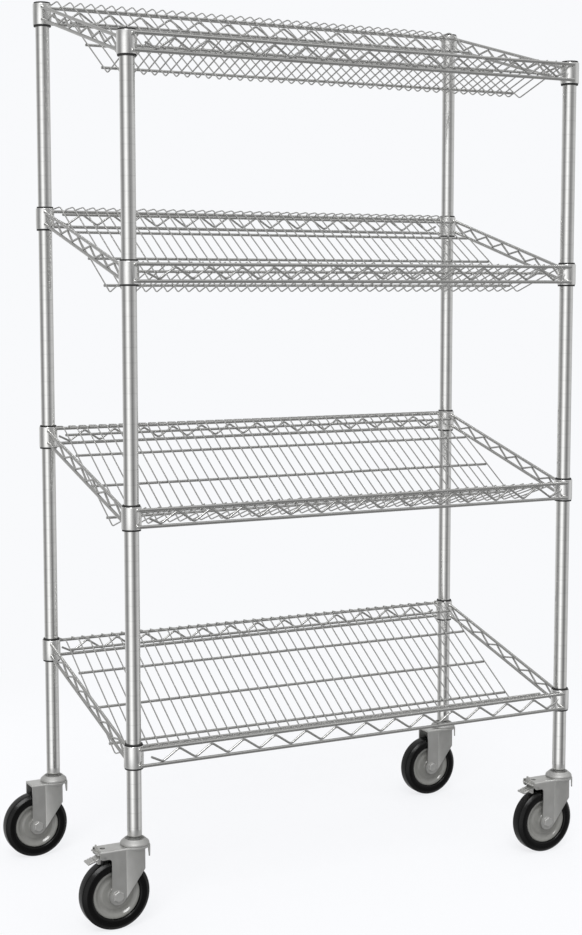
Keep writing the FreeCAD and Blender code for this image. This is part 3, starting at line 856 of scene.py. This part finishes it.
def axle_mesh():
    """Bolt with a chamfered hexagon head, its nut, and a washer under each, as (radius, past the fork)."""
    hexagon = [(0, 0.0), (8.6, 0.0), (9.81, 0.7), (9.81, 3.6), (8.7, 4.45), (0, 4.45)]
    washer = [(AXLE_R, -0.2), (10.6, -0.2), (10.8, 0.5), (10.5, 0.9), (AXLE_R, 0.9)]
    shape = Shape()
    shape.add(*lathe(mirrored([(0, -FORK_OUT), (AXLE_R, -FORK_OUT)]), 24, "Y", AXLE))
    for side in (-1, 1):
        for form, segments in ((hexagon, 6), (washer, 32)):
            profile = [(radius, side * (FORK_OUT + past)) for radius, past in form]
            shape.add(*lathe(profile, segments, "Y", AXLE))
    return shape.mesh("axle", 30.0)


def wheel_mesh():
    """Dished disc: hub, raised inner ring, hollow face, and a bead along the rim."""
    hub = [(5.1, -16.5), (10.6, -16.5), (11.6, -15.9), (12.2, -14.8), (12.8, -12.6), (14.0, -10.8),
           (16.2, -9.6)]
    inner_ring = [(19.0, -9.1), (23.0, -9.1), (25.0, -8.9), (26.4, -8.3), (27.6, -7.5)]
    hollow = [(29.0, -7.0), (31.0, -6.9), (32.6, -7.3), (34.0, -8.2), (35.4, -9.4), (36.8, -10.6)]
    bead = [(38.0, -11.4), (39.2, -11.8), (40.6, -11.7), (41.5, -11.3), (42.0, -10.6)]
    shape = Shape()
    shape.add(*lathe(mirrored(hub + inner_ring + hollow + bead), 72, "Y", AXLE))
    return shape.mesh("wheel", 50.0)


def tyre_mesh():
    """Solid tyre: flat sides, broad rounded shoulders and a nearly level tread."""
    wall = [(42.05, -11.4), (42.6, -13.2), (44.0, -14.5), (46.0, -15.0), (50.0, -15.0), (53.4, -15.0)]
    shoulder = [(54.4, -14.8), (55.2, -14.3), (57.5, -12.5), (59.6, -10.8), (60.4, -10.0), (60.8, -9.0)]
    tread = [(WHEEL_R, -7.5), (WHEEL_R, 0.0)]
    shape = Shape()
    shape.add(*lathe(mirrored(wall + shoulder + tread), 96, "Y", AXLE))
    return shape.mesh("tyre", 50.0)


def pedal_mesh():
    """Foot pedal: barrel round its pin, a sheet bent out to a ridged tread, and the shoe under it."""
    pivot, bend, tip = Vector(PIN), Vector(PEDAL_BEND), Vector(PEDAL_TIP)
    outward = (tip - bend).normalized()
    above = Vector((outward.y, -outward.x))
    lift = above * (PEDAL_THICKNESS / 2)
    step = (tip - bend).length / PEDAL_RIDGES
    top = [pivot + lift, pivot.lerp(bend, 0.85) + lift, bend + lift * 0.96]
    for ridge in range(PEDAL_RIDGES):
        start = bend + outward * (ridge * step) + lift
        for along, height in ((0.3, 0.9), (0.5, 1.2), (0.7, 0.9), (1.0, 0.0)):
            top.append(start + outward * (step * along) + above * height)
    under = [tip - lift * 0.6, tip - outward * 0.8 - lift, bend - lift, (SHOE_FAR, 124.0),
             (SHOE_FAR, SHOE_LOW + 1.2), (SHOE_FAR + 1.2, SHOE_LOW), (SHOE_NEAR - 1.1, SHOE_LOW),
             (SHOE_NEAR, SHOE_LOW + 1.1), (SHOE_NEAR, PIN[1] - 3.4), pivot - lift]
    barrel = [(PIN_R + 0.06, -BARREL_HALF), (BARREL_R, -BARREL_HALF)]
    shape = Shape()
    shape.add(*slab([tuple(p) for p in top + under], -PEDAL_HALF, PEDAL_HALF))
    shape.add(*lathe(mirrored(barrel), 28, "Y", (PIN[0], 0, PIN[1])))
    return joined(shape.mesh("pedal", 30.0))


def pin_mesh():
    edge = 0.4
    side = [(0, -FORK_OUT), (PIN_R - edge, -FORK_OUT), (PIN_R, edge - FORK_OUT)]
    shape = Shape()
    shape.add(*lathe(mirrored(side), 20, "Y", (PIN[0], 0, PIN[1])))
    return shape.mesh("pin", 30.0)


def plate_mesh():
    """Brake plate under the deck: toothed rear edge, round hole, and a lug bent up behind the deck."""
    high = CROWN_BOTTOM - WELD_GAP
    low = high - PLATE_THICKNESS
    width = 2 * PLATE_HALF / PLATE_TEETH
    blunt, flat = TOOTH_TIP + 0.3, width * 0.16
    rear_edge = [(TOOTH_TIP, 0.0), (blunt, flat), (TOOTH_ROOT, width * 0.5)]
    for tooth in range(1, PLATE_TEETH // 2 + 1):
        centre = tooth * width
        rear_edge += [(blunt, centre - flat), (TOOTH_TIP, centre), (blunt, centre + flat),
                      (TOOTH_ROOT, centre + width * 0.5)]
    shape = Shape()
    holed_slab(shape, PLATE_FRONT, PLATE_HALF, rear_edge, low, high)
    near, far, lug_top, corner = 1.0, 9.0, 147.5, 1.2
    lug = [(near, low), (far, low), (far, lug_top - corner), (far - corner, lug_top),
           (near + corner, lug_top), (near, lug_top - corner)]
    lug_front = DECK_REAR - WELD_GAP
    shape.add(*strip(lug, lug_front - PLATE_THICKNESS, lug_front))
    return joined(shape.mesh("plate", 30.0))


def build_casters():
    stem, crown, axle, wheel, tyre = stem_mesh(), crown_mesh(), axle_mesh(), wheel_mesh(), tyre_mesh()
    forks = {True: fork_mesh(True), False: fork_mesh(False)}
    pedal, pin, plate = pedal_mesh(), pin_mesh(), plate_mesh()
    for name, (x, y) in CORNERS.items():
        at = (x, y, 0)
        braked = y < 0
        fork, wheel_body = "fork_" + name, "wheel_" + name
        piece("swivel_cup_" + name, stem, "root", CUP_ZINC, ["caster_stem_" + name], at)
        piece("pressed_fork_" + name, forks[braked], fork, ZINC, ["fork_" + name], at, 0.5)
        piece("fork_crown_" + name, crown, fork, CUP_ZINC, (), at)
        piece("axle_bolt_" + name, axle, fork, CUP_ZINC, ["axle_" + name], at)
        piece("dished_wheel_" + name, wheel, wheel_body, HUB_GREY,
              ["wheel_centre_" + name], at)
        piece("round_tyre_" + name, tyre, wheel_body, RUBBER, ["tyre_" + name], at)
        if braked:
            piece("foot_pedal_" + name, pedal, "brake_" + name, ZINC,
                  ["brake_pedal_" + name], at, 0.5)
            piece("pedal_pin_" + name, pin, fork, ZINC, ["brake_pin_" + name], at)
            piece("toothed_plate_" + name, plate, fork, ZINC, ["brake_plate_" + name], at)


# Studio: pale floor and background, soft light, and a surround that only reflections show

PALE = (0.947, 0.955, 0.973)
FLOOR_PAINT = (0.20, 0.20, 0.205)
FLOOR_BOUNCE = (0.75, 0.75, 0.75)
FLOOR_GLOW = 0.808
SOFT_LIGHT = 0.66

# The floor in metres: a round sheet just under the wheels, which fades into the background
FLOOR_REACH = 1.9
FLOOR_FADE = (0.95, 1.75)
FLOOR_DROP = 0.0004

# Grey of the surround by bearing: 0.5 is the camera's side, lower places lie to the left of the view.
# The turn, in degrees, brings 0.5 round to the camera.
SURROUND_TURN = 116.9
AROUND = [(0.0, 0.84), (0.11, 0.70), (0.25, 0.27), (0.32, 0.31), (0.40, 1.00), (0.44, 1.22), (0.48, 1.02),
          (0.525, 0.54), (0.58, 0.28), (0.61, 0.22), (0.65, 0.17), (0.68, 0.22), (0.715, 0.38), (0.75, 0.46),
          (0.85, 0.46), (0.92, 0.50), (0.96, 0.62), (1.0, 0.84)]

# Grey below and above, from straight down at 0 to straight up at 1, and how far it takes over there
OVERHEAD = [(0.0, 0.35), (0.72, 0.35), (0.86, 0.7), (1.0, 0.8)]
OVERHEAD_SHARE = [(0.0, 1.0), (0.25, 0.5), (0.36, 0.0), (0.62, 0.0), (0.85, 1.0)]


def floor_material():
    """Painted floor that lights itself to the background's tone; mirror reflections look through it."""
    material = bpy.data.materials.new("floor_paint")
    material.use_nodes = True
    tree = material.node_tree
    tree.nodes.clear()
    out = node(tree, "OutputMaterial")
    path = node(tree, "LightPath")
    coords = node(tree, "TexCoord")
    distance = node(tree, "VectorMath", operation="LENGTH")
    tree.links.new(coords.outputs["Object"], distance.inputs[0])
    fade = share_between(tree, distance.outputs["Value"], *FLOOR_FADE, interpolation_type="SMOOTHSTEP")
    lit = node(tree, "AddShader")
    tree.links.new(matt_paint(tree, FLOOR_PAINT), lit.inputs[0])
    tree.links.new(glow(tree, "Emission", PALE, FLOOR_GLOW), lit.inputs[1])
    seen = choose(tree, path.outputs["Is Camera Ray"], matt_paint(tree, FLOOR_BOUNCE), lit.outputs[0])
    faded = choose(tree, fade, seen, glow(tree, "Emission", PALE))
    clear = node(tree, "BsdfTransparent")
    surface = choose(tree, path.outputs["Is Glossy Ray"], faded, clear.outputs[0])
    tree.links.new(surface, out.inputs["Surface"])
    return material


def build_floor():
    mesh = bpy.data.meshes.new("floor")
    rim = [(x, y, 0) for x, y in arc((0, 0), FLOOR_REACH, 0, 360, 96)[:-1]]
    mesh.from_pydata(rim, [], [tuple(range(len(rim)))])
    mesh.materials.append(floor_material())
    floor = bpy.data.objects.new("floor", mesh)
    bpy.context.scene.collection.objects.link(floor)
    floor.location.z = -FLOOR_DROP


def surround(tree):
    """Grey by bearing and height, as the rack's metal reflects it."""
    coords = node(tree, "TexCoord")
    turned = node(tree, "Mapping")
    turned.inputs["Rotation"].default_value = (0, 0, math.radians(SURROUND_TURN))
    tree.links.new(coords.outputs["Generated"], turned.inputs["Vector"])
    parts = node(tree, "SeparateXYZ")
    tree.links.new(turned.outputs["Vector"], parts.inputs[0])
    bearing = calculate(tree, "ARCTAN2", parts.outputs["Y"], parts.outputs["X"])
    around = ramp(tree, share_between(tree, bearing, -math.pi, math.pi), AROUND)
    height = share_between(tree, parts.outputs["Z"], -1.0, 1.0)
    mix = node(tree, "Mix", data_type="RGBA")
    tree.links.new(ramp(tree, height, OVERHEAD_SHARE), mix.inputs["Factor"])
    tree.links.new(around, mix.inputs["A"])
    tree.links.new(ramp(tree, height, OVERHEAD), mix.inputs["B"])
    shown = node(tree, "Background")
    tree.links.new(mix.outputs["Result"], shown.inputs["Color"])
    return shown.outputs[0]


def build_world():
    """Pale for the camera, the surround for reflections, and plain white light for all else."""
    world = bpy.data.worlds.new("studio")
    bpy.context.scene.world = world
    world.use_nodes = True
    tree = world.node_tree
    tree.nodes.clear()
    out = node(tree, "OutputWorld")
    path = node(tree, "LightPath")
    soft = glow(tree, "Background", (1, 1, 1), SOFT_LIGHT)
    lighting = choose(tree, path.outputs["Is Glossy Ray"], soft, surround(tree))
    backdrop = glow(tree, "Background", PALE)
    tree.links.new(choose(tree, path.outputs["Is Camera Ray"], lighting, backdrop), out.inputs["Surface"])


def build_sun(name, strength, heading, angle):
    light = bpy.data.lights.new(name, "SUN")
    light.energy = strength
    light.angle = math.radians(angle)
    sun = bpy.data.objects.new(name, light)
    bpy.context.scene.collection.objects.link(sun)
    sun.rotation_euler = Vector(heading).to_track_quat("-Z", "Y").to_euler()


def build_camera():
    """The photograph's own view: 582 x 935 pixels, solved from the posts, collars and wheels."""
    width, height = 582.0, 935.0
    azimuth, elevation, roll = math.radians(-26.904), math.radians(5.774), math.radians(-0.045)
    focal, centre_x, centre_y = 1680.68, 284.562, 460.233
    sensor = 24.0
    data = bpy.data.cameras.new("camera")
    data.sensor_fit = "VERTICAL"
    data.sensor_height = sensor
    data.lens = focal * sensor / height
    data.shift_x = (width / 2 - centre_x) / height
    data.shift_y = (centre_y - height / 2) / height
    data.clip_end = 100.0
    camera = bpy.data.objects.new("camera", data)
    bpy.context.scene.collection.objects.link(camera)
    back = Vector((math.sin(azimuth) * math.cos(elevation), -math.cos(azimuth) * math.cos(elevation),
                   math.sin(elevation)))
    right = (-back).cross(Vector((0, 0, 1))).normalized()
    up = right.cross(-back)
    tilted_right = right * math.cos(roll) + up * math.sin(roll)
    tilted_up = up * math.cos(roll) - right * math.sin(roll)
    turn = Matrix((tilted_right, tilted_up, back)).transposed().to_4x4()
    spot = Vector((-1470.724 + SHIFT, -2803.808, 1077.711)) * MM
    camera.matrix_world = Matrix.Translation(spot) @ turn
    bpy.context.scene.camera = camera


build_posts()
build_caps()
build_sleeves()
build_shelves()
build_casters()
build_floor()
build_world()
build_sun("key", strength=1.5, heading=(0.45, 0.75, -1.0), angle=28.0)
build_sun("fill", strength=0.25, heading=(-0.9, 0.5, -0.5), angle=100.0)
build_camera()
bpy.context.scene.view_settings.view_transform = "Standard"
bpy.context.view_layer.update()
